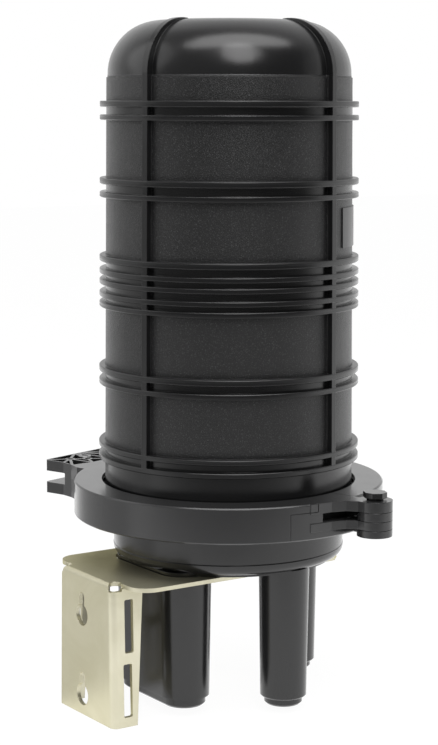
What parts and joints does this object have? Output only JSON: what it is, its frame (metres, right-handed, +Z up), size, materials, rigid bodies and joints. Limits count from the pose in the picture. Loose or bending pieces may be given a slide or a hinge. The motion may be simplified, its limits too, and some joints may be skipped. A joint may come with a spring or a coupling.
{
  "type": "dome splice closure",
  "caption": "Black ribbed dome on a ported base, held by a hinged two-part clamp ring, on a folded metal wall bracket with keyholes and strap slots.",
  "frame": {"origin": "centre of the outer face of the bracket's wall plate", "axes": "+Z up along the closure axis, +Y out of the wall plate towards the wall, the closure stands in front of the wall at -Y"},
  "size_m": [0.3037, 0.2393, 0.4979],
  "materials": {
    "dome_plastic": "black moulded plastic, finely textured wall with smooth glossier crown",
    "base_plastic": "black moulded plastic, satin",
    "clamp_plastic": "dark moulded plastic, satin",
    "seal_rubber": "soft black rubber",
    "pin_coat": "black moulded pin, glossy",
    "pin_steel": "plain steel",
    "bracket_zinc": "pale olive cream passivated zinc on steel sheet",
    "screw_steel": "bright plated steel",
    "frame_steel": "plated steel sheet",
    "tray_plastic": "pale grey moulded plastic",
    "holder_rubber": "dark elastomer comb",
    "clear_plastic": "clear sheet cover"
  },
  "bodies": {
    "closure": {"dome": "dome_plastic", "base": "base_plastic", "seal_ring": "seal_rubber", "clamp_rear": "clamp_plastic", "hinge_pin": "pin_coat", "latch_catch_pin": "pin_steel", "mounting_bracket": "bracket_zinc", "bracket_screws": "screw_steel", "bracket_washers": "screw_steel", "tray_frame": "frame_steel", "frame_screws": "screw_steel"},
    "front_half": {"clamp_front": "clamp_plastic", "latch_pivot_pin": "pin_steel"},
    "latch": {"latch_lever": "clamp_plastic"},
    "tray_1": {"splice_tray_1": "tray_plastic", "splice_holder_1": "holder_rubber"},
    "tray_2": {"splice_tray_2": "tray_plastic", "splice_holder_2": "holder_rubber"},
    "tray_3": {"splice_tray_3": "tray_plastic", "splice_holder_3": "holder_rubber"},
    "tray_4": {"splice_tray_4": "tray_plastic", "splice_holder_4": "holder_rubber", "tray_cover": "clear_plastic"}
  },
  "joints": [
    {"name": "clamp_open", "type": "hinge", "parent": "closure", "child": "front_half", "pos_m": [-0.12623, -0.16299, 0.0998], "axis": [0, 0, 1], "range_deg": [0, 50]},
    {"name": "latch_swing", "type": "hinge", "parent": "front_half", "child": "latch", "pos_m": [0.13213, -0.07773, 0.0998], "axis": [0, 0, 1], "range_deg": [0, 150]},
    {"name": "tray_1_tilt", "type": "hinge", "parent": "closure", "child": "tray_1", "pos_m": [0, -0.0774, 0.115], "axis": [1, 0, 0], "range_deg": [0, 3]},
    {"name": "tray_2_tilt", "type": "hinge", "parent": "tray_1", "child": "tray_2", "pos_m": [0, -0.0924, 0.115], "axis": [1, 0, 0], "range_deg": [0, 3]},
    {"name": "tray_3_tilt", "type": "hinge", "parent": "tray_2", "child": "tray_3", "pos_m": [0, -0.1074, 0.115], "axis": [1, 0, 0], "range_deg": [0, 3]},
    {"name": "tray_4_tilt", "type": "hinge", "parent": "tray_3", "child": "tray_4", "pos_m": [0, -0.1224, 0.115], "axis": [1, 0, 0], "range_deg": [0, 3]}
  ],
  "couplings": [
    {"joint": "latch_swing", "follows": "clamp_open", "ratio": 3}
  ]
}
